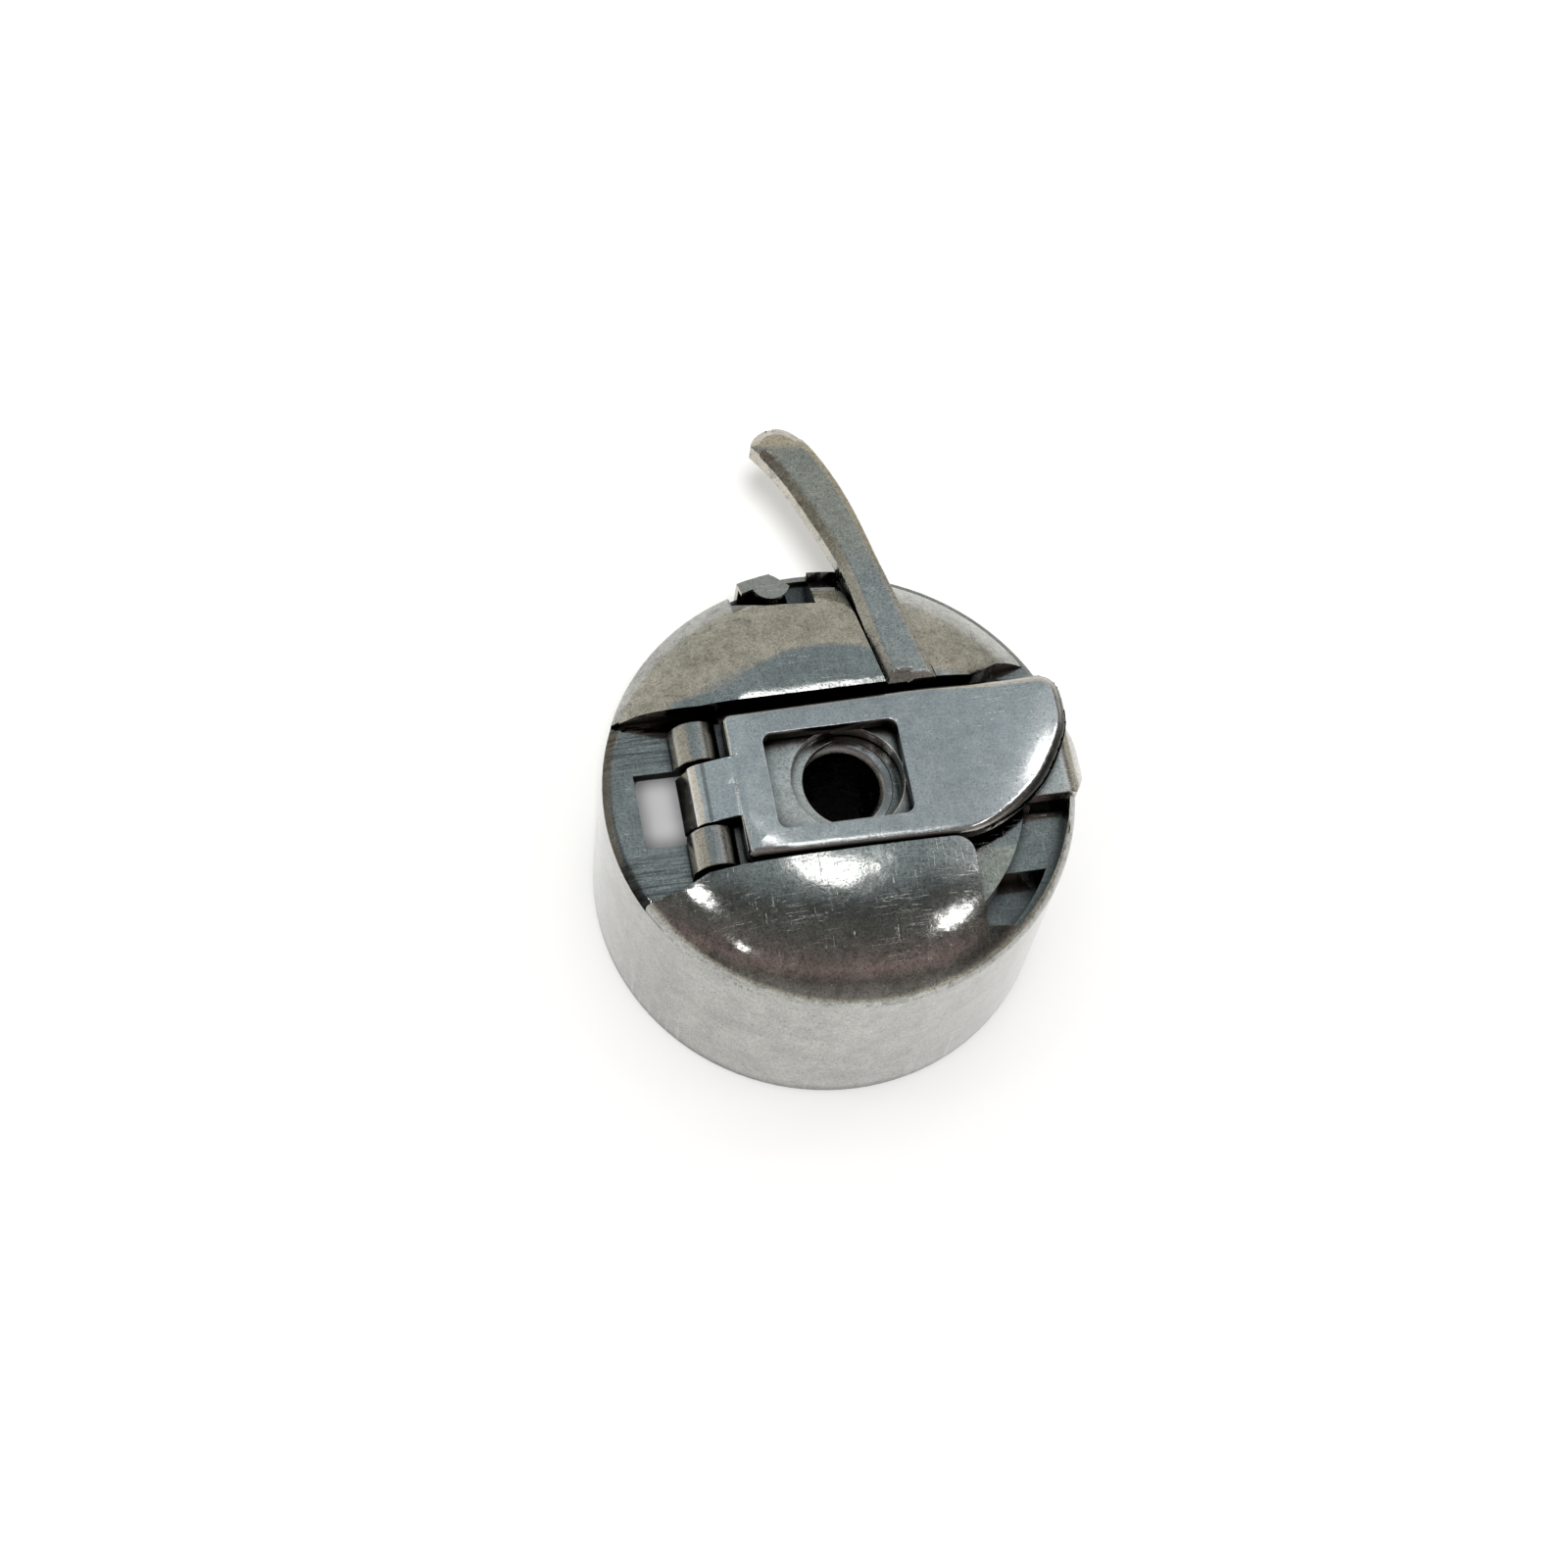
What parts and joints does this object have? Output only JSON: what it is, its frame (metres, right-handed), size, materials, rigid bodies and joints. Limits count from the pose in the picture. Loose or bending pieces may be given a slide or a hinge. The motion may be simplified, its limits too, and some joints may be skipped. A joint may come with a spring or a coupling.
{
  "type": "bobbin case",
  "caption": "Domed steel cup for a sewing machine bobbin, with a central post and bore, a sliding latch with a hinged lever, a curved position finger and a leaf spring that brakes the thread.",
  "frame": {"origin": "centre of the bore at the end of the centre post, level with the open rim that stands on the table", "axes": "+Z along the cup's axis out of the domed face; +X from the latch hinge to the lever's free end; +Y towards the position finger"},
  "size_m": [0.0235, 0.0309, 0.0136],
  "materials": {
    "case_steel": "polished, lightly tarnished and mottled",
    "post_steel": "turned",
    "finger_steel": "polished, worn and patchy",
    "slide_steel": "blanked plate, lightly grained",
    "lever_steel": "polished, fine scratches",
    "spring_steel": "ground strip",
    "screw_steel": "turned"
  },
  "bodies": {
    "case": {"case_body": "case_steel", "centre_post": "post_steel", "position_finger": "finger_steel", "tension_spring": "spring_steel", "tension_fixing_screw": "screw_steel"},
    "slide": {"latch_slide": "slide_steel", "hinge_pin": "screw_steel", "slide_spring": "spring_steel"},
    "lever": {"latch_lever": "lever_steel"},
    "adjuster": {"tension_adjusting_screw": "screw_steel"}
  },
  "joints": [
    {"name": "latch_slide_travel", "type": "slide", "parent": "case", "child": "slide", "axis": [-1, 0, 0], "range_m": [0, 0.001], "stiffness_N_per_m": 250, "springref_m": -0.001, "deforming": ["slide_spring"]},
    {"name": "latch_lever_hinge", "type": "hinge", "parent": "slide", "child": "lever", "pos_m": [-0.00667, 0, 0.0119], "axis": [0, -1, 0], "range_deg": [0, 88]},
    {"name": "tension_adjuster_turn", "type": "hinge", "parent": "case", "child": "adjuster", "pos_m": [0.0059, 0.01021, 0.0088], "axis": [0.5, 0.866, 0], "range_deg": [-180, 180]}
  ],
  "couplings": [
    {"joint": "latch_lever_hinge", "follows": "latch_slide_travel", "rad_per_m": 1535.7}
  ]
}
